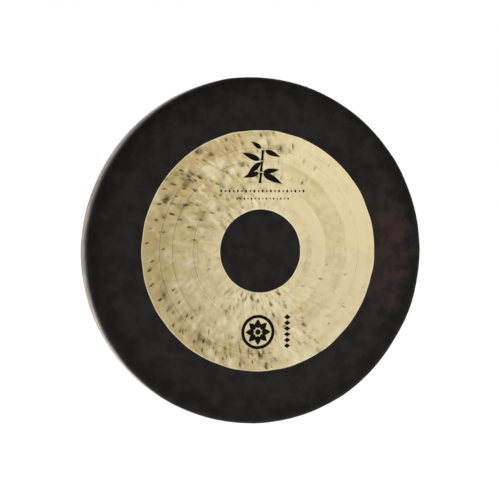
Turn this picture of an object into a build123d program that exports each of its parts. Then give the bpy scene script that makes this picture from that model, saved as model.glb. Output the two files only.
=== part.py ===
from build123d import *

import os
from math import asin, cos, degrees, radians, sin, sqrt

# A hanging tam-tam (chau gong). One disc of bronze is forged into a shallow pan: a gently crowned face,
# a round shoulder and a straight rim that runs back from it. Forging leaves the whole pan under black
# fire scale. The scale is scraped away in a wide band round the face, front and back, and off the outside
# of the rim, so what is left of it is a disc and a ring on each side. Ink marks are stencilled on the band.
#
# Frame: +Y is the gong's axis and runs from the struck face to the back, +Z is up as it hangs, and the
# origin is the middle of the overall box. Sections are drawn in the XY plane as (radius, depth).

# ---- Driving dimensions: the pan ----
outer_diameter = 860.0  # over the widest part of the shoulder
overall_depth = 100.0  # crown of the face to the back edge of the rim
crown_height = 10.0  # how far the face bulges inside the shoulder
shoulder_radius = 20.0  # outside bend between face and rim
rim_taper = 0.0  # degrees that the rim leans in towards the back
face_wall = 2.2
rim_wall = 3.0
lip_round = 0.8  # the two edges of the rim's back end

# ---- Driving dimensions: the scraped band and the fire scale ----
band_outer_diameter = 600.0
band_inner_diameter = 207.0
scrape_depth = 0.15  # metal that the scraper takes off with the scale
scale_film = 0.2  # thickness of the fire scale
scale_end_angle = 62.0  # degrees round the shoulder where the outer scale stops
scale_lip_gap = 3.0  # bare metal between the inner scale and the rim's back edge
guide_circle_insets = (44.0, 76.0, 128.0)  # band's outer edge to circles scribed before scraping
guide_groove_width = 0.8
guide_groove_depth = 0.2

# ---- Driving dimensions: the two holes for the hanging cords ----
hole_diameter = 8.0
hole_spacing = 220.0  # between the holes, straight across
hole_deburr = 0.4
scale_hole_clearance = 1.5  # the scale has flaked off this far round each hole

# ---- Driving dimensions: the stencilled ink ----
ink_film = 0.1
stencil_offset = 6.0  # the upper stencils were laid this far right of the middle, the lower ones left
design_band_width = 196.5  # the stencils are cut for this width of band, and scaled to any other
sprig_height = 106.0
sprig_top_margin = 28.0  # from the band's outer edge to the top of the sprig
sprig_to_upper_row = 17.0  # from the sprig's foot to the middle of the row
row_spacing = 19.0
upper_row_count, upper_row_pitch, upper_row_lozenge = 21, 10.6, (6.0, 9.0)
lower_row_count, lower_row_pitch, lower_row_lozenge = 15, 9.4, (5.0, 6.5)
rosette_diameter, rosette_ring, rosette_eye = 86.0, 8.0, 14.0
rosette_petals, petal_width, petal_gap = 8, 17.0, 2.5
column_from_rosette = 76.0
column_count, column_pitch, column_lozenge = 6, 14.4, (17.0, 12.6)

# ---- Worked out ----
taper = radians(rim_taper)
outer_radius = outer_diameter / 2
band_outer_radius = band_outer_diameter / 2
band_inner_radius = band_inner_diameter / 2
back_y = overall_depth / 2
crown_y = -overall_depth / 2 + scale_film  # the scale on the crown is the frontmost surface
bend_centre_radius = outer_radius - shoulder_radius
front_dome = (bend_centre_radius**2 + crown_height**2) / (2 * crown_height)
dome_centre_y = crown_y + front_dome
rim_run = Vector(-sin(taper), cos(taper))  # along the rim, towards the back
art = (band_outer_radius - band_inner_radius) / design_band_width  # stencils are cut to the band


class Skin:
    """One side of the pan's section: a dome, a bend tangent to it, and the rim."""

    def __init__(self, dome, bend):
        """dome and bend are the radii; the bend's centre slides along the rim until both are tangent."""
        self.dome = dome
        self.bend = bend
        reach = dome - bend
        outer_reach = front_dome - shoulder_radius
        first = Vector(bend_centre_radius, dome_centre_y - sqrt(outer_reach**2 - bend_centre_radius**2))
        arm = first - Vector(0, dome_centre_y)
        along = arm.dot(rim_run)
        slide = -along - sqrt(along**2 - arm.length**2 + reach**2)
        self.centre = first + rim_run * slide
        self.tangent_angle = asin(self.centre.X / reach)  # where the dome meets the bend

    def on_dome(self, radius, lift=0.0):
        """The dome at that radius, lifted off the metal by lift (towards the front)."""
        return Vector(radius, dome_centre_y - sqrt((self.dome + lift) ** 2 - radius**2))

    def on_bend(self, angle, lift=0.0):
        """The bend at an angle in radians from straight ahead."""
        return self.centre + Vector(sin(angle), -cos(angle)) * (self.bend + lift)

    def on_rim(self, y, lift=0.0):
        """The rim at depth y."""
        foot = self.on_bend(radians(90) + taper, lift)
        return foot + rim_run * ((y - foot.Y) / rim_run.Y)

    def edges(self, start_radius, lift=0.0, end_radius=None, end_angle=None, end_y=None):
        """The section's edges from start_radius out to a place on the dome, the bend or the rim."""
        if end_radius is not None:
            middle = (start_radius + end_radius) / 2
            points = [self.on_dome(r, lift) for r in (start_radius, middle, end_radius)]
            return [ThreePointArc(*points)]
        dome_end = (self.dome + lift) * sin(self.tangent_angle)
        last = end_angle if end_angle is not None else radians(90) + taper
        first = self.tangent_angle
        found = self.edges(start_radius, lift, end_radius=dome_end)
        found.append(ThreePointArc(*[self.on_bend(a, lift) for a in (first, (first + last) / 2, last)]))
        if end_y is not None:
            found.append(Line(self.on_bend(last, lift), self.on_rim(end_y, lift)))
        return found


front = Skin(front_dome, shoulder_radius)
back = Skin(front_dome - face_wall, shoulder_radius - rim_wall)


def turned(edges):
    """The solid that a closed section makes when it is turned about the gong's axis."""
    return revolve(make_face(edges), Axis.Y, 360)


def between(low, high):
    """The solid between two runs of edges, closed by straight lines at both ends."""
    ends = [Line(low[0] @ 0, high[0] @ 0), Line(low[-1] @ 1, high[-1] @ 1)]
    return turned(low + high + ends)


def hole_axes():
    """The two holes' frames: origin in the middle of the rim's wall, z pointing outwards."""
    y = (front.on_bend(radians(90) + taper).Y + back_y) / 2
    radius = (front.on_rim(y).X + back.on_rim(y).X) / 2
    angle = asin(hole_spacing / 2 / radius)
    for side in (-1, 1):
        out = Vector(side * sin(angle), 0, cos(angle))
        yield Plane(origin=out * radius + Vector(0, y, 0), z_dir=out)


def drill(solid, diameter):
    """The solid with both cord holes drilled through it."""
    for plane in hole_axes():
        solid -= plane * Cylinder(diameter / 2, shoulder_radius)
    return solid


# ---- gong_body: the forged pan ----
def gong_body():
    """The bronze pan: scraped bands cut in, guide circles scribed and cord holes drilled."""
    outside = front.edges(0, end_y=back_y)
    inside = back.edges(0, end_y=back_y)
    lip = Line(outside[-1] @ 1, inside[-1] @ 1)
    axis = Line(outside[0] @ 0, inside[0] @ 0)
    pan = turned(outside + inside + [lip, axis])
    lips = pan.edges().filter_by(GeomType.CIRCLE).group_by(Axis.Y)[-1]
    pan = fillet(lips, lip_round)
    spare = 1.0  # cutters stand this far off the metal
    for skin, outwards in ((front, 1), (back, -1)):
        low = skin.edges(band_inner_radius, -outwards * scrape_depth, end_radius=band_outer_radius)
        high = skin.edges(band_inner_radius, outwards * spare, end_radius=band_outer_radius)
        pan -= between(low, high)
    for inset in guide_circle_insets:
        pan -= guide_groove(band_outer_radius - inset)
    pan = drill(pan, hole_diameter)
    burrs = [e for e in pan.edges().filter_by(GeomType.CIRCLE, reverse=True) if near_hole(e)]
    return chamfer(burrs, hole_deburr)


def guide_groove(radius):
    """A scribed V groove, cut into the scraped front."""
    bed = -scrape_depth
    half = guide_groove_width / 2
    tip = front.on_dome(radius, bed - guide_groove_depth)
    mouth = [front.on_dome(r, bed) for r in (radius - half, radius + half)]
    above = [front.on_dome(r, bed + guide_groove_depth) for r in (radius - half, radius + half)]
    corners = [tip, mouth[0], above[0], above[1], mouth[1]]
    return turned([Line(a, b) for a, b in zip(corners, corners[1:] + corners[:1])])


def near_hole(edge):
    """True for an edge of one of the cord holes."""
    reach = hole_diameter
    return any((edge.center() - plane.origin).length < reach for plane in hole_axes())


# ---- The fire scale ----
def front_centre_scale():
    """The disc of scale left in the middle of the face."""
    low = front.edges(0, end_radius=band_inner_radius)
    high = front.edges(0, scale_film, end_radius=band_inner_radius)
    return between(low, high)


def front_outer_scale():
    """The ring of scale from the band's outer edge to partway round the shoulder."""
    end = radians(scale_end_angle)
    low = front.edges(band_outer_radius, end_angle=end)
    high = front.edges(band_outer_radius, scale_film, end_angle=end)
    return between(low, high)


def back_centre_scale():
    """The disc of scale left in the middle of the back."""
    low = back.edges(0, -scale_film, end_radius=band_inner_radius)
    high = back.edges(0, end_radius=band_inner_radius)
    return between(low, high)


def back_outer_scale():
    """The ring of scale on the back, from the band round the bend and along the inside of the rim."""
    end = back_y - scale_lip_gap
    low = back.edges(band_outer_radius, -scale_film, end_y=end)
    high = back.edges(band_outer_radius, end_y=end)
    return drill(between(low, high), hole_diameter + 2 * scale_hole_clearance)


# ---- The stencilled ink ----
def polygon(corners):
    """The flat shape inside straight lines from corner to corner."""
    return make_face([Line(a, b) for a, b in zip(corners, corners[1:] + corners[:1])])

def brush_leaf(length, width):
    """A leaf of one brush stroke along +X from the origin: full near its root, drawn out to a point."""
    full_x, full_y = 0.18 * length, 0.75 * width
    thin_x, thin_y = 0.6 * length, 0.45 * width
    top = Bezier((0, 0), (full_x, full_y), (thin_x, thin_y), (length, 0))
    low = Bezier((0, 0), (full_x, -full_y), (thin_x, -thin_y), (length, 0))
    return make_face([top, low])

def stem_joint(length, waist, foot):
    """A length of stem along +X with flared ends."""
    top = ThreePointArc((0, foot / 2), (length / 2, waist / 2), (length, foot / 2))
    low = ThreePointArc((0, -foot / 2), (length / 2, -waist / 2), (length, -foot / 2))
    ends = [Line((x, foot / 2), (x, -foot / 2)) for x in (0, length)]
    return make_face([top, low, *ends])

def lozenge(width, height):
    """A diamond centred on the origin."""
    return polygon([(-width / 2, 0), (0, height / 2), (width / 2, 0), (0, -height / 2)])

def placed(shape, x, y, turn=0.0):
    """shape turned by turn degrees, then moved to (x, y)."""
    return Pos(x, y) * Rot(0, 0, turn) * shape

def heading(turn):
    """The unit vector turn degrees round from +X."""
    return Vector(cos(radians(turn)), sin(radians(turn)))

def fused(faces):
    """Several faces as one flat shape."""
    total = faces[0]
    for face in faces[1:]:
        total += face
    return total

def sprig():
    """A bamboo sprig of three stem joints and seven leaves, sprig_height tall, standing on the origin."""
    lean, joint, gap, waist, foot, clear = 84.0, 28.0, 2.4, 6.4, 9.0, 1.4
    leaves = (  # the node it grows from, its length and width, and its heading
        (1, 62.0, 19.0, -28.0),
        (1, 46.0, 15.0, 8.0),
        (1, 46.0, 15.0, 196.0),
        (2, 54.0, 17.0, 158.0),
        (2, 50.0, 16.0, 222.0),
        (3, 46.0, 15.0, -22.0),
        (3, 34.0, 13.0, 146.0),
    )
    marks = []
    for step in range(3):
        root = heading(lean) * step * (joint + gap)
        marks.append(placed(stem_joint(joint, waist, foot), root.X, root.Y, lean))
    for node, length, width, turn in leaves:
        root = heading(lean) * (node * (joint + gap) - gap / 2) + heading(turn) * (foot / 2 + clear)
        marks.append(placed(brush_leaf(length, width), root.X, root.Y, turn))
    drawn = fused(marks)
    box = drawn.bounding_box()
    drawn = Pos(-(box.min.X + box.max.X) / 2, -box.min.Y) * drawn
    return scale(drawn, sprig_height / box.size.Y)

def ornament_row(count, pitch, size):
    """A row of lozenges, tall and short by turns, centred on the origin."""
    width, height = size
    short = 0.6 * height
    marks = []
    for step in range(count):
        shape = lozenge(width, height if step % 2 == 0 else short)
        marks.append(placed(shape, (step - (count - 1) / 2) * pitch, 0))
    return fused(marks)

def rosette():
    """A flower of pointed petals in a ring, centred on the origin."""
    radius = rosette_diameter / 2
    root = rosette_eye / 2 + petal_gap
    length = radius - rosette_ring - petal_gap - root
    marks = [Circle(radius) - Circle(radius - rosette_ring), Circle(rosette_eye / 2)]
    for step in range(rosette_petals):
        turn = 90 + step * 360 / rosette_petals
        out = heading(turn) * root
        marks.append(placed(brush_leaf(length, petal_width), out.X, out.Y, turn))
    return fused(marks)

def column():
    """Lozenges one above the other, centred on the origin."""
    places = [(step - (column_count - 1) / 2) * column_pitch for step in range(column_count)]
    return fused([placed(lozenge(*column_lozenge), 0, y) for y in places])

def inked(marks, x, z):
    """The flat marks as a film of ink on the scraped front, with their origin at (x, z) on the face."""
    bed = -scrape_depth
    edge = 2 * ink_film
    film = between(
        front.edges(band_inner_radius + edge, bed, end_radius=band_outer_radius - edge),
        front.edges(band_inner_radius + edge, bed + ink_film, end_radius=band_outer_radius - edge),
    )
    flat = Plane.XZ * Pos(x, z) * scale(marks, art)
    stamps = [extrude(face, overall_depth / 2) for face in flat.faces()]
    return Compound(children=[solid for stamp in stamps for solid in (film & stamp).solids()])

sprig_z = band_outer_radius - (sprig_top_margin + sprig_height) * art
upper_row_z = sprig_z - sprig_to_upper_row * art
lower_row_z = upper_row_z - row_spacing * art
rosette_z = -(band_outer_radius + band_inner_radius) / 2
column_x = -stencil_offset + column_from_rosette * art
upper_row = ornament_row(upper_row_count, upper_row_pitch, upper_row_lozenge)
lower_row = ornament_row(lower_row_count, lower_row_pitch, lower_row_lozenge)

parts = {
    "gong_body": gong_body(),
    "front_centre_scale": front_centre_scale(),
    "front_outer_scale": front_outer_scale(),
    "back_centre_scale": back_centre_scale(),
    "back_outer_scale": back_outer_scale(),
    "sprig_ink": inked(sprig(), stencil_offset, sprig_z),
    "upper_row_ink": inked(upper_row, stencil_offset, upper_row_z),
    "lower_row_ink": inked(lower_row, stencil_offset, lower_row_z),
    "rosette_ink": inked(rosette(), -stencil_offset, rosette_z),
    "column_ink": inked(column(), column_x, rosette_z),
}

os.makedirs("parts", exist_ok=True)
for name, shape in parts.items():
    export_step(shape, f"parts/{name}.step")

for plane in hole_axes():
    print("cord hole at", plane.origin, "axis", plane.z_dir)
print("rim's back edge radius", round(back.on_rim(back_y).X, 3), "to", round(front.on_rim(back_y).X, 3))
print("shoulder's end angle", round(degrees(front.tangent_angle), 3))
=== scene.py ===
"""A hanging tam-tam: one forged bronze pan under black fire scale, with a wide hammered band scraped bare.

All lengths are in metres, in the frame's own axes: +Y runs from the struck face to the open back, +Z is up.
"""

from math import asin, cos, pi, radians, sin

import bmesh
import bpy
import numpy as np
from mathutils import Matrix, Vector


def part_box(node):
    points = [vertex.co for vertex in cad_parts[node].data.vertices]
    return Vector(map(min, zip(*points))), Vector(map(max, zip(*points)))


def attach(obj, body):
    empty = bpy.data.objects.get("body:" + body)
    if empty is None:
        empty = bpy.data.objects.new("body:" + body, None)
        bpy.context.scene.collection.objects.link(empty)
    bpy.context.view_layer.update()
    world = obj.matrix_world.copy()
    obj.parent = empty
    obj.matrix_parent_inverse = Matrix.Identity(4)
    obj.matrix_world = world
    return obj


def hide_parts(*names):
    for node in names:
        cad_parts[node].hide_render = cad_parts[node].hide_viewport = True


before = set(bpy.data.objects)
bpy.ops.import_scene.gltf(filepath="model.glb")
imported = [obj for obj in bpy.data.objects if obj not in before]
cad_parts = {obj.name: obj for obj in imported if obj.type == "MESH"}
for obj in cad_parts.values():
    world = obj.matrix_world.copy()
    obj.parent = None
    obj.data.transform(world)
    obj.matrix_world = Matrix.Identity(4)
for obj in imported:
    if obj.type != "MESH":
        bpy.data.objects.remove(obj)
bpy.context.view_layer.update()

# ---- The camera ----
# A long lens four metres off, to the left of the gong's axis and a little above it, aimed a little to the
# left of the crown of the face.
pan_low, pan_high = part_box("gong_body")
camera_turn, camera_rise, camera_distance = radians(-15.2), radians(1.9), 4.0
aim_left, aim_up = 0.0275, 0.0039
back_to_camera = Vector((
    sin(camera_turn) * cos(camera_rise),
    -cos(camera_turn) * cos(camera_rise),
    sin(camera_rise),
))
camera_right = Vector((0, 0, 1)).cross(back_to_camera).normalized()
camera_up = back_to_camera.cross(camera_right)
aim = Vector((0, pan_low.y, 0)) - camera_right * aim_left + camera_up * aim_up
camera = bpy.data.objects.new("camera", bpy.data.cameras.new("camera"))
camera.data.lens, camera.data.sensor_width = 116.2, 36.0
camera.location = aim + back_to_camera * camera_distance
camera.rotation_euler = back_to_camera.to_track_quat("Z", "Y").to_euler()
bpy.context.scene.collection.objects.link(camera)
bpy.context.scene.camera = camera

# ---- bronze_pan: the forging ----
# One disc of bronze, hammered hot into a crowned face, a round shoulder and a straight rim, with two
# holes drilled for its cord. Its band and the outside of its rim are scraped bare, which leaves a brown
# tarnish in the hammer's deepest marks, and the rest of it lies under the black scale of the forge. The
# band's colour also carries painted shade and painted highlights.
outer_radius, crown_y, back_y = pan_high.x, pan_low.y, pan_high.y
shoulder_radius, crown_height = 0.020, 0.010
face_wall, rim_wall, lip_round = 0.0022, 0.0030, 0.0008
band_inner, band_outer = 0.1035, 0.300
scribed_circles = (0.172, 0.224, 0.256)

bend_centre_r = outer_radius - shoulder_radius
dome_radius = (bend_centre_r**2 + crown_height**2) / (2 * crown_height)
dome_end = asin(bend_centre_r / (dome_radius - shoulder_radius))
bend_centre_y = crown_y + dome_radius - (dome_radius - shoulder_radius) * cos(dome_end)
face_run = dome_radius * dome_end
bend_run = face_run + shoulder_radius * (pi / 2 - dome_end)
rim_run = bend_run + back_y - bend_centre_y
front_scale_end = face_run + shoulder_radius * (radians(62.0) - dome_end)
back_scale_end = rim_run - 0.003


def section(run):
    """Radius, depth and heading of the pan's outside, at a run along its section from the crown.

    A dome, a bend tangent to it and a straight rim; the heading is the outward normal's turn from -Y.
    """
    on_dome = run < face_run
    bend_turn = np.minimum(dome_end + (run - face_run) / shoulder_radius, pi / 2)
    heading = np.where(on_dome, run / dome_radius, bend_turn)
    bend_r = bend_centre_r + shoulder_radius * np.sin(heading)
    bend_y = bend_centre_y - shoulder_radius * np.cos(heading) + np.maximum(run - bend_run, 0)
    radius = np.where(on_dome, dome_radius * np.sin(heading), bend_r)
    depth = np.where(on_dome, crown_y + dome_radius * (1 - np.cos(heading)), bend_y)
    return radius, depth, heading


def smooth(value, low, high):
    """Smoothstep: 0 at low, 1 at high, 3t^2 - 2t^3 between and level outside; low may be the larger."""
    t = np.clip((value - low) / (high - low), 0, 1)
    return t * t * (3 - 2 * t)


def rolling(x, z, size, seed):
    """Value noise from -1 to 1: random heights on a square lattice of that size, joined by smoothsteps."""
    table = np.random.default_rng(seed).uniform(-1, 1, (256, 256))
    left, low = np.floor(x / size).astype(int), np.floor(z / size).astype(int)
    across, up = smooth(x / size - left, 0, 1), smooth(z / size - low, 0, 1)
    left, right, low, high = left % 256, (left + 1) % 256, low % 256, (low + 1) % 256
    bottom = table[left, low] * (1 - across) + table[right, low] * across
    top = table[left, high] * (1 - across) + table[right, high] * across
    return bottom * (1 - up) + top * up


def round_gong(turn, angles, values):
    """A value that changes round the gong: straight lines between the values at those angles in degrees."""
    return np.interp(np.degrees(turn) % 360, angles, values, period=360)


def hand_edge(run, turn):
    """Run, moved near each edge of the scale by noise round it, as the edges wander under a hand scraper."""
    x, z = np.cos(turn), np.sin(turn)
    reach = 0.018
    edges = (
        (band_inner, 0.0006, 0.22, 21),
        (band_outer, 0.0012, 0.12, 22),
        (front_scale_end, 0.0015, 0.10, 23),
    )
    for middle, swing, size, seed in edges:
        near = np.clip(1 - ((run - middle) / reach) ** 2, 0, None) ** 2
        run = run + swing * near * rolling(x, z, size, seed)
    return run


def out_of_round(run, turn):
    """How far the outline stands out, in metres: the rim is hammered by eye, and is not quite round."""
    millimetres_out = round_gong(
        turn,
        (5, 30, 60, 78, 100, 135, 158, 180, 215, 240, 265, 305, 325, 340),
        (1.5, -0.6, -1.2, 0.6, 4.6, 0.6, 0.8, 4.2, 5.4, 6.2, 3.4, 3.4, 0.6, 2.4),
    )
    return 0.001 * millimetres_out * smooth(run, 0.32, 0.42)


def forged(run, turn, inward, relief):
    """Points of the pan: its section at run, moved along its normal by relief less inward, turned about Y."""
    run = hand_edge(run, turn)
    radius, depth, heading = section(run)
    radius = radius + out_of_round(run, turn) + (relief - inward) * np.sin(heading)
    depth = depth - (relief - inward) * np.cos(heading)
    return np.stack([radius * np.cos(turn), depth, radius * np.sin(turn)], axis=-1)


def strikes(run, turn, pitch, gap, start, scatter, length, width, force, seed):
    """How deep the deepest hammer strike is at each point, from 0 to 1.

    Strikes sit on rings a pitch apart and a gap apart round each ring, moved at random within scatter of
    their cells. A strike is a trough, 1 - u^2 - v^2, where u and v count half lengths along it and half
    widths across it. It leans from the radius, and force says how hard it was from its own place.
    """
    lean, lean_spread = radians(20.0), radians(16.0)
    rings = int((rim_run - start) / pitch) + 1
    ring_runs = start + (np.arange(rings) + 0.5) * pitch
    counts = np.maximum(np.round(2 * pi * ring_runs / gap), 5).astype(int)
    draws = np.random.default_rng(seed).random((6, rings, counts.max()))
    home = np.floor((run - start) / pitch).astype(int)
    deepest = np.zeros_like(run)
    for ring_step in (-1, 0, 1):
        ring = np.clip(home + ring_step, 0, rings - 1)
        count = counts[ring]
        column = np.floor(turn / (2 * pi) * count).astype(int)
        for column_step in (-1, 0, 1):
            place = (column + column_step) % count
            out, aside, tilt, long, wide, luck = draws[:, ring, place]
            strike_run = start + (ring + 0.5 + scatter * (out - 0.5)) * pitch
            strike_turn = 2 * pi * (place + 0.5 + scatter * (aside - 0.5)) / count
            along = run - strike_run
            across = strike_run * ((turn - strike_turn + pi) % (2 * pi) - pi)
            angle = lean + lean_spread * (2 * tilt - 1)
            u = (along * np.cos(angle) + across * np.sin(angle)) / (length * (0.65 + 0.7 * long))
            v = (across * np.cos(angle) - along * np.sin(angle)) / (width * (0.7 + 0.6 * wide))
            depth = force(strike_run, strike_turn, luck) * np.clip(1 - u * u - v * v, 0, None)
            deepest = np.maximum(deepest, depth)
    return deepest


def planish_force(run, turn, luck):
    """Broad shallow facets: firm at the top left and the foot, almost smoothed away on the right."""
    on_band = round_gong(
        turn, (20, 70, 105, 150, 210, 255, 300, 335), (0.15, 0.45, 1.0, 0.6, 0.5, 0.9, 0.7, 0.2)
    )
    off_band = smooth(run, band_outer - 0.004, band_outer + 0.010)
    return (on_band * (1 - off_band) + 0.7 * off_band) * (0.5 + 0.5 * luck)


def peen_force(run, turn, luck):
    """Strokes of a peen: thick on the ground at the top left and the foot, and few elsewhere."""
    wanted = round_gong(
        turn, (40, 75, 95, 145, 165, 215, 240, 300, 330), (0.02, 0.35, 0.8, 0.75, 0.3, 0.3, 0.6, 0.65, 0.1)
    )
    left_middle = round_gong(turn, (140, 165, 215, 240), (0, 1, 1, 0)) * smooth(run, 0.240, 0.215)
    wanted = wanted * (1 - 0.75 * left_middle)
    return np.where(luck < wanted, 0.45 + 0.55 * luck / np.maximum(wanted, 0.01), 0)


def flute_force(run, turn, luck):
    """Long strokes side by side at the foot of the band, next to the black middle."""
    at_foot = round_gong(turn, (225, 245, 300, 318), (0, 1, 1, 0)) * smooth(run, 0.170, 0.135)
    return np.where(luck < 0.85 * at_foot, 0.5 + 0.5 * luck, 0)


def dash_force(run, turn, luck):
    """Deep single strokes in two rows near the band's edge, on the left; the second row has gaps."""
    wanted = round_gong(turn, (125, 140, 262, 275), (0, 0.95, 0.95, 0))
    second_row = smooth(run, 0.262, 0.258)
    wanted = wanted * (1 - 0.45 * second_row)
    return np.where(luck < wanted, 0.7 + 0.3 * luck, 0)


def fleck_force(run, turn, luck):
    """Small short strokes, mostly at the lower left and the foot."""
    wanted = round_gong(turn, (60, 95, 150, 200, 225, 300, 320), (0.0, 0.25, 0.2, 0.08, 0.4, 0.4, 0.03))
    return np.where(luck < wanted, 0.5 + 0.5 * luck / np.maximum(wanted, 0.01), 0)


planish_depth, facet_depth, peen_depth, dash_depth, fleck_depth = 0.00045, 0.00065, 0.00070, 0.00065, 0.00045
roll_height, scribe_depth, scrape_step, deepest_dent = 0.00070, 0.00025, 0.00025, 0.00140
cover_sink, scale_film, scale_root = 0.0008, 0.0002, 0.0010


def inland(run):
    """0 at the pan's lip, which is left level, and 1 from 8 mm inside it."""
    return smooth(run, rim_run - 0.002, rim_run - 0.008)


def within_band(run, inner_margin, outer_margin):
    """0 at the scraped band's two edges, and 1 over the part of it that lies between those margins."""
    past_inner = smooth(run, band_inner, band_inner + inner_margin)
    return past_inner * smooth(run, band_outer - 0.001, band_outer - outer_margin)


def sheet_roll(run, turn):
    """Broad unevenness of the whole sheet, front and back alike, firmest where the facets are."""
    x, z = run * np.cos(turn), run * np.sin(turn)
    firmness = 0.35 + 0.65 * planish_force(run, turn, 1.0)
    return roll_height * rolling(x, z, 0.045, 16) * firmness * inland(run)


def face_relief(run, turn):
    """Height of the face over its section, and from -1 to 1 the tarnish that the scraper left in its hollows,
    with painted shade above 0 and painted highlight below it.

    The roll of the sheet, less the depth of facets, strokes, dashes, flecks and scribed circles. The scraped
    band lies a step below the metal beside it.
    """
    in_band = within_band(run, 0.005, 0.005)
    planish = strikes(
        run, turn, pitch=0.021, gap=0.022, start=0.0, scatter=0.9,
        length=0.016, width=0.012, force=planish_force, seed=11,
    )
    facets = strikes(
        run, turn, pitch=0.022, gap=0.019, start=0.0, scatter=1.0,
        length=0.0170, width=0.0100, force=peen_force, seed=12,
    ) * in_band
    peen = strikes(
        run, turn, pitch=0.021, gap=0.0175, start=0.0, scatter=1.0,
        length=0.0115, width=0.0052, force=peen_force, seed=13,
    ) * in_band
    flutes = strikes(
        run, turn, pitch=0.022, gap=0.0105, start=0.088, scatter=0.8,
        length=0.0150, width=0.0042, force=flute_force, seed=17,
    ) * in_band
    dashes = strikes(
        run, turn, pitch=0.036, gap=0.034, start=0.2275, scatter=0.4,
        length=0.0090, width=0.0036, force=dash_force, seed=14,
    ) * in_band
    flecks = strikes(
        run, turn, pitch=0.024, gap=0.022, start=0.0, scatter=1.0,
        length=0.0065, width=0.0032, force=fleck_force, seed=15,
    ) * in_band
    strokes = np.maximum(peen, flutes)
    marks = np.maximum(np.maximum(peen_depth * strokes, dash_depth * dashes), fleck_depth * flecks)
    scribe = round_gong(turn, (60, 110, 250, 290), (0.55, 1, 1, 0.55)) * sum(
        abs(run - circle) < 0.0003 for circle in scribed_circles
    )
    step = smooth(run, band_inner, band_inner + 0.003) * smooth(run, band_outer, band_outer - 0.003)
    dents = np.minimum(planish_depth * planish + facet_depth * facets + marks, deepest_dent)
    dents = dents + scribe_depth * scribe
    height = sheet_roll(run, turn) - dents * inland(run) - scrape_step * step
    dirt = np.maximum(np.maximum(0.85 * strokes, 1.7 * dashes), np.maximum(flecks, 0.45 * facets))
    tarnish_shade_and_gleam = np.maximum(smooth(dirt, 0.15, 1.10), 0.9 * scribe)
    # The tarnish of the hollows, with the clouds of painted shade and painted highlight added.
    return height, np.clip(tarnish_shade_and_gleam + painted_shade_and_gleam(run, turn), -1, 1)


def painted_shade_and_gleam(run, turn):
    """Partly tarnish and partly painted shade above 0, and painted highlight below it.

    Clouds drawn out along the strokes stand in for the lit and shaded sides of the relief, and a painted
    shadow ring lies beside the outer scribed circle.
    """
    struck = round_gong(
        turn, (40, 75, 95, 150, 175, 215, 240, 300, 330), (0.10, 0.65, 1.0, 0.95, 0.55, 0.6, 1.0, 0.95, 0.20)
    )
    lean = radians(20.0)
    across = 0.2 * turn
    along, aside = run * cos(lean) + across * sin(lean), across * cos(lean) - run * sin(lean)
    clouds = rolling(along, 0.6 * along + aside, 0.019, 18) + 0.8 * rolling(along / 2, aside, 0.0075, 19)
    # A soft painted shadow ring just outside the outer scribed circle, on the left of the band.
    ring = round_gong(turn, (85, 125, 235, 265), (0.1, 1, 1, 0.1)) * smooth(abs(run - 0.2660), 0.0140, 0)
    return struck * (0.72 * smooth(clouds, 0.0, 1.5) - smooth(clouds, 0.0, -1.6)) + 0.30 * ring


def any_force(run, turn, luck):
    """Strikes all over, as hard as luck has it."""
    return luck


def back_relief(run, turn):
    """Height of the inside, outwards, and its tarnish: the roll of the sheet and shallow dents of its own."""
    in_band = within_band(run, 0.006, 0.007)
    planish = strikes(
        run, turn, pitch=0.024, gap=0.026, start=0.0, scatter=0.9,
        length=0.020, width=0.015, force=any_force, seed=31,
    )
    peen = strikes(
        run, turn, pitch=0.016, gap=0.016, start=0.0, scatter=1.0,
        length=0.010, width=0.0055, force=any_force, seed=32,
    ) * in_band
    step = smooth(run, band_inner, band_inner + 0.004) * smooth(run, band_outer, band_outer - 0.004)
    dents = 0.5 * planish_depth * planish + 0.4 * peen_depth * peen
    height = sheet_roll(run, turn) + dents * inland(run) + 0.5 * scrape_step * step
    return height, smooth(peen, 0.45, 0.95)


def wall(run):
    """Thickness of the pan: the face's, growing round the shoulder to the rim's."""
    return face_wall + (rim_wall - face_wall) * smooth(run, face_run - 0.010, bend_run)


def covered(run, scale_end):
    """From 0 to 1, how far the metal is sunk out of sight below the scale that covers it."""
    disc = smooth(run, band_inner, band_inner - 0.004)
    ring = smooth(run, band_outer, band_outer + 0.004) * smooth(run, scale_end, scale_end - 0.003)
    return np.maximum(disc, ring)


def pan_skin(run, turn, inward):
    """Points of the whole pan, and its tarnish, which carries painted shade and painted highlight on the
    face. Past half the wall a point is on the inside of the pan.
    """
    inside = inward > wall(run) / 2
    outside_height, outside_tarnish_and_shade = face_relief(run, turn)
    inside_height, inside_stain = back_relief(run, turn)
    outside_cover, inside_cover = covered(run, front_scale_end), covered(run, back_scale_end)
    roll = sheet_roll(run, turn)
    outside_height = outside_height * (1 - outside_cover) + (roll - cover_sink) * outside_cover
    inside_height = inside_height * (1 - inside_cover) + (roll + cover_sink) * inside_cover
    points = forged(run, turn, inward, np.where(inside, inside_height, outside_height))
    return points, {"tarnish_shade_and_gleam": np.where(inside, inside_stain, outside_tarnish_and_shade), "run": run}


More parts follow.
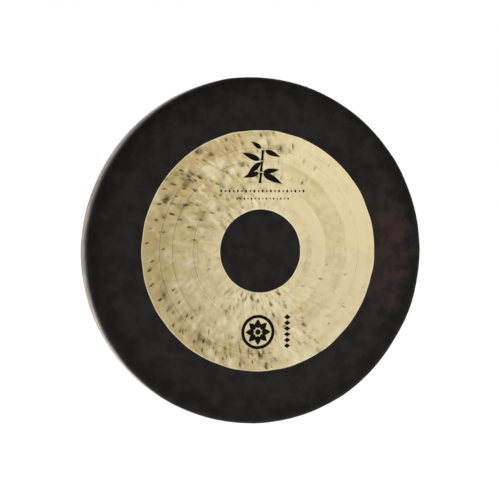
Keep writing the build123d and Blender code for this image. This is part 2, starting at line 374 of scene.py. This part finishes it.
def turned_piece(name, rows, skin, loop):
    """A closed mesh of rows turned about Y, where a row with one corner is a pole.

    rows holds (run, inward, corners), from the crown to the rim and back behind, so faces look outwards. A
    row may have twice or half its neighbour's corners. skin gives points and attributes from whole arrays.
    loop joins the last row to the first.
    """
    runs, inwards, counts = (np.array(column) for column in zip(*rows))
    turns = np.concatenate([2 * pi * np.arange(n) / n for n in counts])
    points, attributes = skin(np.repeat(runs, counts), turns, np.repeat(inwards, counts))
    starts = np.cumsum(counts) - counts
    faces = []
    pairs = [(row, (row + 1) % len(rows)) for row in range(len(rows) if loop else len(rows) - 1)]
    for row, after in pairs:
        n, m, a, b = counts[row], counts[after], starts[row], starts[after]
        k = np.arange(max(n, m) if min(n, m) == 1 else min(n, m))
        if n == 1:
            corners = [a + 0 * k, b + k, b + (k + 1) % m]
        elif m == 1:
            corners = [a + k, b + 0 * k, a + (k + 1) % n]
        elif m == n:
            corners = [a + k, b + k, b + (k + 1) % m, a + (k + 1) % n]
        elif m == 2 * n:
            corners = [a + k, b + 2 * k, b + 2 * k + 1, b + (2 * k + 2) % m, a + (k + 1) % n]
        else:
            corners = [a + 2 * k, b + k, b + (k + 1) % m, a + (2 * k + 2) % n, a + 2 * k + 1]
        faces += np.stack(corners, axis=1).tolist()
    mesh = bpy.data.meshes.new(name)
    mesh.from_pydata(points.tolist(), [], faces)
    for label, values in attributes.items():
        mesh.attributes.new(label, "FLOAT", "POINT").data.foreach_set("value", values.astype(np.float32))
    mesh.update()
    piece = bpy.data.objects.new(name, mesh)
    bpy.context.scene.collection.objects.link(piece)
    return piece


def spaced(low, high, step):
    """Places from low to high or down to it, evenly spaced at about that step."""
    return np.linspace(low, high, max(round(abs(high - low) / step), 1) + 1)


def drill(piece, diameter):
    """Cuts both cord holes through the piece's rim, each with a drill of 48 sides that points outwards."""
    hole_spacing, hole_reach, sides = 0.220, 0.012, 48
    hole_y, hole_r = (bend_centre_y + back_y) / 2, outer_radius - rim_wall / 2
    hole_turn = asin(hole_spacing / 2 / hole_r)
    around, k = 2 * pi * np.arange(sides) / sides, np.arange(sides)
    walls = np.stack([k, (k + 1) % sides, sides + (k + 1) % sides, sides + k], axis=1).tolist()
    for side in (-1, 1):
        out = np.array([side * sin(hole_turn), 0, cos(hole_turn)])
        across = np.array([cos(hole_turn), 0, -side * sin(hole_turn)])
        ring = diameter / 2 * (np.outer(np.cos(around), across) + np.outer(np.sin(around), [0, 1, 0]))
        middle = out * hole_r + np.array([0, hole_y, 0])
        points = np.concatenate([ring + middle - out * hole_reach, ring + middle + out * hole_reach])
        mesh = bpy.data.meshes.new("drill")
        mesh.from_pydata(points.tolist(), [], walls + [k[::-1].tolist(), (sides + k).tolist()])
        bit = bpy.data.objects.new("drill", mesh)
        bpy.context.scene.collection.objects.link(bit)
        cut = piece.modifiers.new("hole", "BOOLEAN")
        cut.object, cut.operation, cut.solver = bit, "DIFFERENCE", "MANIFOLD"
        bpy.context.view_layer.update()
        drilled = bpy.data.meshes.new_from_object(piece.evaluated_get(bpy.context.evaluated_depsgraph_get()))
        piece.modifiers.clear()
        piece.data = drilled
        piece.data.materials.clear()
        bpy.data.objects.remove(bit)


def shade(piece, crease):
    """Shades the piece smooth, with edges sharper than crease kept crisp."""
    piece.data.polygons.foreach_set("use_smooth", np.ones(len(piece.data.polygons), bool))
    piece.data.set_sharp_from_angle(angle=crease)


# Corners round each row: finest on the outer band in front, and fewer towards the middle and on the back.
finest, fine, coarse, coarser, coarsest = 832, 416, 208, 104, 52
fine_from = 0.168
under_ring = (0.320, 0.350, 0.385)
band_rows = spaced(band_inner, band_outer - 0.0024, 0.0025)
band_rows = band_rows[np.min([abs(band_rows - circle) for circle in scribed_circles], axis=0) > 0.0014]
scribed_rows = [circle + aside for circle in scribed_circles for aside in (-0.0008, 0, 0.0008)]
band_rows = np.sort(np.concatenate([band_rows, scribed_rows, [band_outer - 0.0012, band_outer]]))
pan_rows = [(0, 0, 1), (0.035, 0, coarser), (0.070, 0, coarse), (band_inner - 0.004, 0, fine)]
pan_rows += [(run, 0, fine if run < fine_from else finest) for run in band_rows]
pan_rows += [(band_outer + 0.004, 0, finest)]
pan_rows += [(run, 0, fine) for run in under_ring]
pan_rows += [(run, 0, fine) for run in spaced(face_run, front_scale_end - 0.003, 0.0045)]
pan_rows += [(run, 0, fine) for run in spaced(front_scale_end, rim_run - lip_round, 0.0070)]
lip_turns = np.radians([22.5, 45.0, 67.5, 90.0])
lip = [(rim_run - lip_round * (1 - sin(t)), lip_round * (1 - cos(t)), fine) for t in lip_turns]
pan_rows += lip + [(run, rim_wall - inward, n) for run, inward, n in lip[::-1]]
pan_rows += [(rim_run - lip_round, rim_wall, fine)]
back_runs = [back_scale_end, back_scale_end - 0.003, *spaced(rim_run - 0.014, bend_run, 0.011)]
back_runs += [*spaced(bend_run, face_run, 0.0055)[1:], *under_ring[::-1], band_outer + 0.004]
pan_rows += [(run, wall(run), fine) for run in back_runs]
back_band = spaced(band_outer, band_inner, 0.0042)
pan_rows += [(run, face_wall, coarse if run < fine_from else fine) for run in back_band]
pan_rows += [(band_inner - 0.004, face_wall, coarse), (0.070, face_wall, coarser)]
pan_rows += [(0.035, face_wall, coarsest), (0, face_wall, 1)]
bronze_pan = turned_piece("bronze_pan", pan_rows, pan_skin, loop=False)
drill(bronze_pan, 0.008)
shade(bronze_pan, radians(50.0))


class Signal:
    """A node's output while a finish is written: arithmetic on it adds Math nodes, node() adds any other."""

    def __init__(self, tree, socket=None):
        self.tree, self.socket = tree, socket

    def node(self, kind, settings=None, inputs=None, output=0):
        """Adds a node, makes its settings, sets or links its sockets and returns one of its outputs."""
        made = self.tree.nodes.new("ShaderNode" + kind)
        for name, value in (settings or {}).items():
            setattr(made, name, value)
        for name, value in (inputs or {}).items():
            if isinstance(value, Signal):
                self.tree.links.new(value.socket, made.inputs[name])
            else:
                made.inputs[name].default_value = value
        return Signal(self.tree, made.outputs[output])

    def maths(self, operation, *values):
        return self.node("Math", {"operation": operation}, dict(enumerate(values)))

    def __add__(self, other):
        return self.maths("ADD", self, other)

    def __sub__(self, other):
        return self.maths("SUBTRACT", self, other)

    def __rsub__(self, other):
        return self.maths("SUBTRACT", other, self)

    def __mul__(self, other):
        return self.maths("MULTIPLY", self, other)

    def __truediv__(self, other):
        return self.maths("DIVIDE", self, other)

    def __pow__(self, other):
        return self.maths("POWER", self, other)

    __radd__, __rmul__ = __add__, __mul__

    def axes(self):
        """The three parts of a vector."""
        return [self.node("SeparateXYZ", None, {0: self}, output=part) for part in range(3)]

    def rise(self, low, high):
        """Smoothstep of this value: 0 at low, 1 at high; low may be the larger."""
        inputs = {"Value": self, "From Min": low, "From Max": high}
        return self.node("MapRange", {"interpolation_type": "SMOOTHSTEP"}, inputs)

    def noise(self, scale, detail=2.0, rough=0.5):
        """Noise of this vector, about 0.5, from roughly 0.25 to 0.75."""
        inputs = {"Vector": self, "Scale": scale, "Detail": detail, "Roughness": rough}
        return self.node("TexNoise", None, inputs)

    def pick(self, low, high):
        """The colour low where this value is 0 and high where it is 1."""
        return self.node("Mix", {"data_type": "RGBA"}, {0: self, 6: low, 7: high}, output=2)

    def bump(self, height, distance, strength):
        """A normal from a height from 0 to 1, worth that distance; this is the normal before it, or None."""
        inputs = {"Height": height, "Distance": distance, "Strength": strength}
        if self.socket:
            inputs["Normal"] = self
        return self.node("Bump", None, inputs)


def new_finish(name, **steady):
    """A material with one Principled shader, its steady sockets set by name, and its Object coordinates."""
    finish = bpy.data.materials.new(name)
    finish.use_nodes = True
    shader = finish.node_tree.nodes["Principled BSDF"]
    for socket, value in steady.items():
        shader.inputs[socket.replace("_", " ")].default_value = value
    return finish, shader, Signal(finish.node_tree).node("TexCoord", output="Object")


def feed(shader, **signals):
    """Links each signal to the shader's socket of that name."""
    for socket, signal in signals.items():
        signal.tree.links.new(signal.socket, shader.inputs[socket.replace("_", " ")])


def polar(place, around, outward):
    """The radius, and a vector for streaks: direction from the axis times around, radius times outward."""
    x, y, z = place.axes()
    radius = (x * x + z * z + 1e-9) ** 0.5
    parts = {0: x / radius * around, 1: radius * outward, 2: z / radius * around}
    return radius, place.node("CombineXYZ", None, parts)


pale_gold, tan_gold, painted_highlight_gold = (0.78, 0.67, 0.40, 1), (0.55, 0.42, 0.20, 1), (0.92, 0.85, 0.62, 1)
tarnish_and_shade_brown = (0.075, 0.050, 0.014, 1)


def scraped_bronze():
    """Bare bronze: pale gold with tan tarnish, fine scraper lines round the gong, brown in the deep marks.

    The tan on the left is partly painted shade; clouds of painted shade, a painted shadow ring and
    painted highlights lie over the band, along the strokes, along its edges and at its foot.
    """
    finish, shader, place = new_finish("scraped_bronze", IOR=1.45)
    tarnish_shade_and_gleam = place.node("Attribute", {"attribute_name": "tarnish_shade_and_gleam"}, output="Fac")
    run = place.node("Attribute", {"attribute_name": "run"}, output="Fac")
    radius, fine_rings = polar(place, 9.0, 1500.0)
    _, broad_rings = polar(place, 1.2, 75.0)
    _, soft_streaks = polar(place, 30.0, 22.0)
    x, _, z = place.axes()
    lines = fine_rings.noise(1.0, 2.0, 0.6)
    rings = broad_rings.noise(1.0, 2.0, 0.5)
    streaks = soft_streaks.noise(1.0, 3.0, 0.6)
    clouds = place.noise(22.0, 4.0, 0.6)
    spots = place.noise(75.0, 3.0, 0.6)
    # More tan on the left, the upper left and the foot. On the left it is partly tarnish and partly painted
    # shade, the dimming that the key light on the right leaves there.
    left = (0.10 - x).rise(0.0, 0.34)
    low_left = (0.0 - x - 0.7 * z).rise(0.10, 0.34)
    outer = radius.rise(0.250, 0.285)
    tan_and_painted_shade = left * (0.38 + 0.15 * outer) + 0.25 * low_left + 0.9 * (clouds - 0.5) + 0.8 * (rings - 0.5)
    tan_and_painted_shade = tan_and_painted_shade + 0.9 * (spots - 0.5) + 0.45 * (z - 1.2 * x).rise(0.10, 0.34)
    tan_and_painted_shade = tan_and_painted_shade + 0.30 * (0.0 - z).rise(0.16, 0.27)
    broad_ring = radius.rise(0.166, 0.174) * radius.rise(0.226, 0.221)
    narrow_ring = radius.rise(0.116, 0.122) * radius.rise(0.137, 0.131)
    tan_and_painted_shade = tan_and_painted_shade + 0.34 * x.rise(0.0, 0.12) * (broad_ring + narrow_ring)
    colour = tan_and_painted_shade.rise(-0.15, 1.1).pick(pale_gold, tan_gold)
    # Along both edges of the band: partly the brighter metal of the fresh scraper cut, partly a painted
    # highlight of the step's edge.
    edge = run.rise(band_outer - 0.0030, band_outer - 0.0012)
    edge = edge + run.rise(band_inner + 0.0040, band_inner + 0.0010)
    # A painted highlight: bright streaks at the foot of the band, beside the black middle.
    painted_highlight = (0.0 - z).rise(0.09, 0.13) * radius.rise(0.185, 0.120) * streaks.rise(0.42, 0.62)
    # Painted highlight where the tarnish channel falls below 0.
    colour = (0.65 * (0.0 - tarnish_shade_and_gleam).rise(-0.2, 1.1)).pick(colour, painted_highlight_gold)
    colour = (0.50 * edge + 0.8 * painted_highlight).rise(0.0, 1.0).pick(colour, painted_highlight_gold)
    # Brown: tarnish in the hammer marks and streaks, with painted shade in the clouds along the strokes and
    # in the ring beside the outer scribed circle.
    brown_tarnish_and_shade = tarnish_shade_and_gleam * (0.75 + 0.8 * (streaks - 0.5)) + 0.25 * (streaks - 0.62).rise(0.0, 0.14)
    brown_tarnish_and_shade = brown_tarnish_and_shade.rise(0.05, 0.95)
    colour = brown_tarnish_and_shade.pick(colour, tarnish_and_shade_brown)
    normal = Signal(finish.node_tree).bump(lines, 0.00008, 0.6)
    normal = normal.bump(streaks, 0.0006, 0.5)
    feed(
        shader,
        Base_Color=colour,
        Metallic=0.94 - 0.35 * brown_tarnish_and_shade,
        Roughness=0.40 + 0.16 * (lines - 0.5) + 0.18 * brown_tarnish_and_shade,
        Normal=normal,
    )
    return finish


def filed_bronze():
    """The rim's outside: bronze filed round in cream and brown streaks, burnt dark towards the shoulder."""
    cream, umber, smoke = (0.78, 0.70, 0.58, 1), (0.20, 0.14, 0.09, 1), (0.36, 0.30, 0.23, 1)
    burnt = (0.022, 0.016, 0.012, 1)
    finish, shader, place = new_finish("filed_bronze", IOR=1.45)
    x, y, z = place.axes()
    radius, _ = polar(place, 1.0, 1.0)
    round_rim = place.node("CombineXYZ", None, {0: x / radius * 5.0, 1: y * 190.0, 2: z / radius * 5.0})
    fine_round = place.node("CombineXYZ", None, {0: x / radius * 16.0, 1: y * 700.0, 2: z / radius * 16.0})
    streaks = round_rim.noise(1.0, 4.0, 0.65)
    files = fine_round.noise(1.0, 2.0, 0.6)
    patches = place.noise(14.0, 3.0, 0.55)
    colour = streaks.rise(0.36, 0.62).pick(umber, cream)
    colour = (0.6 * patches.rise(0.47, 0.62)).pick(colour, smoke)
    towards_face = 0.0 - y + 0.050 * (streaks - 0.5) + 0.030 * (patches - 0.5)
    colour = towards_face.rise(-0.022, 0.020).pick(colour, burnt)
    normal = Signal(finish.node_tree).bump(files, 0.00015, 0.7)
    feed(
        shader,
        Base_Color=colour,
        Metallic=0.55 + 0.3 * streaks,
        Roughness=0.42 + 0.2 * patches,
        Normal=normal,
    )
    return finish


bronze_pan.data.materials.append(scraped_bronze())
bronze_pan.data.materials.append(filed_bronze())
centres = np.empty(len(bronze_pan.data.polygons) * 3)
bronze_pan.data.polygons.foreach_get("center", centres)
under_black_ring = 0.35
on_rim = np.hypot(centres[0::3], centres[2::3]) > under_black_ring
bronze_pan.data.polygons.foreach_set("material_index", on_rim.astype(np.int32))
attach(bronze_pan, "root")
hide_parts("gong_body")

# ---- The fire scale on the face ----
# The black oxide of the forge, left as a disc in the middle of the face and as a ring from the band to
# partway round the shoulder. It is as thin as a coat of paint, and its edges are where the scraper stopped.


def film(run, edges):
    """Height of the scale over the metal: a thin film that rounds down over its last half millimetre."""
    nearest = np.min([abs(run - edge) for edge in edges], axis=0)
    return scale_film - 0.0003 * smooth(nearest, 0.0006, 0)


def front_scale_skin(run, turn, inward):
    """Points of the scale in front: on the face's relief where inward is 0, rooted in the metal where not."""
    top = face_relief(run, turn)[0] + film(run, (band_inner, band_outer, front_scale_end))
    root = sheet_roll(run, turn) - scale_root
    return forged(run, turn, 0 * run, np.where(inward > 0, root, top)), {}


def round_corners(run, finest):
    """Corners of a row near the middle: finest past 7 cm, and halved with each halving of the run."""
    return finest // 2 ** int(np.clip(np.ceil(np.log2(0.072 / run)), 0, 4))


def disc_rows(finest, step, root_inward):
    """Rows of a disc of scale: its top from the pole out to the band, and its root back to the pole."""
    top = [*spaced(step, band_inner - 0.004, step), band_inner - 0.002, band_inner - 0.0006, band_inner]
    rows = [(0, 0, 1)] + [(run, 0, round_corners(run, finest)) for run in top]
    root = [band_inner, 0.072, 0.036, 0.018]
    return rows + [(run, root_inward, round_corners(run, finest)) for run in root] + [(0, root_inward, 1)]


front_disc_rows = disc_rows(448, 0.0034, 1)
front_centre = turned_piece("front_centre_scale_skin", front_disc_rows, front_scale_skin, loop=False)
ring_top = [band_outer, band_outer + 0.0006, band_outer + 0.002]
ring_top += [*spaced(band_outer + 0.005, face_run, 0.0036)]
ring_top += [*spaced(face_run, front_scale_end - 0.002, 0.0026)[1:]]
ring_top += [front_scale_end - 0.0006, front_scale_end]
ring_root = [front_scale_end, *spaced(front_scale_end - 0.003, face_run, 0.0045)]
ring_root += [*under_ring[::-1], band_outer]
front_ring_rows = [(run, 0, 896) for run in ring_top] + [(run, 1, 448) for run in ring_root]
front_outer = turned_piece("front_outer_scale_skin", front_ring_rows, front_scale_skin, loop=True)


def fire_scale():
    """Forge scale: near black, clouded in patches the size of a hammer face, pitted, with a reddish painted
    sheen at the right and painted shade towards its outer edge.
    """
    soot_and_shade, ash, sheen_red = (0.0045, 0.0037, 0.0029, 1), (0.0165, 0.0150, 0.0138, 1), (0.0420, 0.0230, 0.0195, 1)
    finish, shader, place = new_finish("fire_scale", IOR=1.45, Specular_IOR_Level=0.18)
    x, _, z = place.axes()
    radius, _ = polar(place, 1.0, 1.0)
    blotches = place.noise(26.0, 3.0, 0.55)
    clouds = place.noise(7.0, 3.0, 0.5)
    pits = place.noise(420.0, 3.0, 0.6)
    grain = place.noise(110.0, 4.0, 0.65)
    # A reddish painted sheen on the right of the face, about the gong's middle height, where the key light
    # gleams.
    painted_sheen = (x + 0.25 * (clouds - 0.5)).rise(0.16, 0.36) * ((z + 0.03) * (z + 0.03)).rise(0.05, 0.0)
    colour = painted_sheen.pick(ash, sheen_red)
    # Darker in blotches and clouds, and with painted shade towards the outer edge, where the face turns back
    # round the shoulder.
    mottle_and_shoulder_shade = (1 - blotches.rise(0.36, 0.66)) * 0.50 + (0.5 - clouds) * 0.6 + 0.60 * radius.rise(0.360, 0.425)
    colour = mottle_and_shoulder_shade.rise(-0.1, 1.0).pick(colour, soot_and_shade)
    normal = Signal(finish.node_tree).bump(grain, 0.0005, 0.35)
    normal = normal.bump(pits, 0.00012, 0.5)
    roughness = 0.44 + 0.30 * (1 - blotches) + 0.12 * (pits - 0.5)
    feed(shader, Base_Color=colour, Roughness=roughness, Normal=normal)
    return finish


scale_finish = fire_scale()
for piece, node in ((front_centre, "front_centre_scale"), (front_outer, "front_outer_scale")):
    shade(piece, radians(50.0))
    piece.data.materials.append(scale_finish)
    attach(piece, "root")
    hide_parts(node)

# ---- The fire scale on the back ----
# The same oxide behind: a disc in the middle, and a ring that runs round inside the shoulder and along the
# inside of the rim, up to the bare edge. It has flaked away round the two cord holes.


def back_scale_skin(run, turn, inward):
    """Points of the scale behind: on the inside's relief where inward is 0, rooted in the metal where not."""
    top = back_relief(run, turn)[0] - film(run, (band_inner, band_outer, back_scale_end))
    root = sheet_roll(run, turn) + scale_root
    return forged(run, turn, wall(run), np.where(inward > 0, root, top)), {}


back_disc_rows = disc_rows(224, 0.0046, 1)[::-1]
back_centre = turned_piece("back_centre_scale_skin", back_disc_rows, back_scale_skin, loop=False)
ring_top = [band_outer, band_outer + 0.0006, band_outer + 0.002]
ring_top += [*spaced(band_outer + 0.006, face_run, 0.0050), *spaced(face_run, bend_run, 0.0036)[1:]]
ring_top += [*spaced(bend_run, back_scale_end - 0.002, 0.0046)[1:], back_scale_end - 0.0006, back_scale_end]
ring_root = [back_scale_end, *spaced(back_scale_end - 0.004, bend_run, 0.012)]
ring_root += [*spaced(bend_run, face_run, 0.0055)[1:], *under_ring[::-1], band_outer]
back_ring_rows = [(run, 0, 448) for run in ring_top] + [(run, 1, 448) for run in ring_root]
back_outer = turned_piece("back_outer_scale_skin", back_ring_rows[::-1], back_scale_skin, loop=True)
drill(back_outer, 0.011)
for piece, node in ((back_centre, "back_centre_scale"), (back_outer, "back_outer_scale")):
    shade(piece, radians(50.0))
    piece.data.materials.append(scale_finish)
    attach(piece, "root")
    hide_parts(node)

# ---- The stencilled marks ----
# A bamboo sprig, two rows of lozenges, a rosette and a column of lozenges, dabbed through stencils in black
# ink. The ink lies on the scraped metal and dips into the hammer marks with it.
ink_film, ink_root, ink_step = 0.00015, 0.0006, 0.0022


def laid_on_face(points, on_top):
    """The mark's own points, moved to lie just over the highest metal within a millimetre or so of each."""
    from_centre = points - np.array([0, crown_y + dome_radius, 0])
    radius = np.hypot(points[:, 0], points[:, 2])
    run = dome_radius * np.arctan2(radius, -from_centre[:, 1])
    turn = np.arctan2(points[:, 2], points[:, 0]) % (2 * pi)
    reach = 0.0013
    asides = ((0, 0), (reach, 0), (-reach, 0), (0, reach), (0, -reach))
    metal = np.max([face_relief(run + out, turn + round_ / run)[0] for out, round_ in asides], axis=0)
    return forged(run, turn, 0 * run, metal + np.where(on_top, ink_film, -ink_root))


def stencil_ink():
    """Stencil ink: a dull black, a little thin and brown in patches."""
    dense, thin = (0.0030, 0.0025, 0.0018, 1), (0.016, 0.012, 0.007, 1)
    finish, shader, place = new_finish("stencil_ink", IOR=1.45, Specular_IOR_Level=0.10)
    cover, speckle = place.noise(60.0, 3.0, 0.6), place.noise(900.0, 2.0, 0.6)
    colour = ((cover - 0.56) + 0.4 * (speckle - 0.5)).rise(0.0, 0.16).pick(dense, thin)
    normal = Signal(finish.node_tree).bump(speckle, 0.00006, 0.5)
    feed(shader, Base_Color=colour, Roughness=0.52 + 0.2 * (cover - 0.5), Normal=normal)
    return finish


ink_finish = stencil_ink()
for node in ("sprig_ink", "upper_row_ink", "lower_row_ink", "rosette_ink", "column_ink"):
    mark = bmesh.new()
    mark.from_mesh(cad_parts[node].data)
    bmesh.ops.remove_doubles(mark, verts=mark.verts, dist=0.000002)
    for halving in range(3):
        long_edges = [edge for edge in mark.edges if edge.calc_length() > ink_step]
        bmesh.ops.subdivide_edges(mark, edges=long_edges, cuts=1)
        bmesh.ops.triangulate(mark, faces=[face for face in mark.faces if len(face.verts) > 3])
    mesh = bpy.data.meshes.new(node + "_print")
    mark.to_mesh(mesh)
    mark.free()
    points, normals = np.empty(len(mesh.vertices) * 3), np.empty(len(mesh.vertices) * 3)
    mesh.vertices.foreach_get("co", points)
    mesh.vertex_normals.foreach_get("vector", normals)
    mesh.vertices.foreach_set("co", laid_on_face(points.reshape(-1, 3), normals[1::3] < 0).ravel())
    mesh.update()
    piece = bpy.data.objects.new(node + "_print", mesh)
    bpy.context.scene.collection.objects.link(piece)
    shade(piece, radians(50.0))
    mesh.materials.clear()
    mesh.materials.append(ink_finish)
    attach(piece, "root")
    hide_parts(node)

# ---- The studio ----
# The gong hangs over a plain white floor in a white room. One broad soft light stands to its right and in
# front, a weaker one to its left, and the room behind it is bright.
floor_z, floor_half, floor_front, floor_back = -0.80, 20.0, -2.5, 38.0
floor_mesh = bpy.data.meshes.new("floor")
corners = [(-floor_half, floor_front, floor_z), (floor_half, floor_front, floor_z)]
corners += [(floor_half, floor_back, floor_z), (-floor_half, floor_back, floor_z)]
floor_mesh.from_pydata(corners, [], [(0, 1, 2, 3)])
floor = bpy.data.objects.new("floor", floor_mesh)
bpy.context.scene.collection.objects.link(floor)
floor_finish = new_finish(
    "white_floor",
    Base_Color=(0.5, 0.5, 0.5, 1),
    Roughness=0.9,
    Emission_Color=(1, 1, 1, 1),
    Emission_Strength=0.75,
)[0]
floor_mesh.materials.append(floor_finish)


def softbox(name, azimuth, elevation, distance, width, height, power, tint):
    """A rectangular light aimed at the gong, from azimuth degrees right of its axis and elevation above."""
    way = Vector((
        sin(radians(azimuth)) * cos(radians(elevation)),
        -cos(radians(azimuth)) * cos(radians(elevation)),
        sin(radians(elevation)),
    ))
    light = bpy.data.objects.new(name, bpy.data.lights.new(name, "AREA"))
    light.data.shape, light.data.size, light.data.size_y = "RECTANGLE", width, height
    light.data.energy, light.data.color = power, tint
    light.location = way * distance
    light.rotation_euler = way.to_track_quat("Z", "Y").to_euler()
    light.visible_camera = False
    bpy.context.scene.collection.objects.link(light)


softbox("key", 26, 15, 3.2, 3.6, 2.4, 23.0, (1.0, 0.98, 0.95))
softbox("fill", -70, 10, 3.2, 1.6, 2.0, 5.0, (0.95, 0.98, 1.0))

world = bpy.data.worlds.new("white_room")
bpy.context.scene.world = world
world.use_nodes = True
room = Signal(world.node_tree)
seen_directly = room.node("LightPath", output="Is Camera Ray")
_, behind, above = room.node("TexCoord", output="Generated").axes()
room_light = 0.34 + 0.36 * behind.rise(-0.2, 0.9) + 0.10 * above
background = world.node_tree.nodes["Background"]
strength = seen_directly + (1 - seen_directly) * room_light
world.node_tree.links.new(strength.socket, background.inputs["Strength"])
background.inputs["Color"].default_value = (1, 1, 1, 1)
bpy.context.scene.view_settings.view_transform = "Standard"
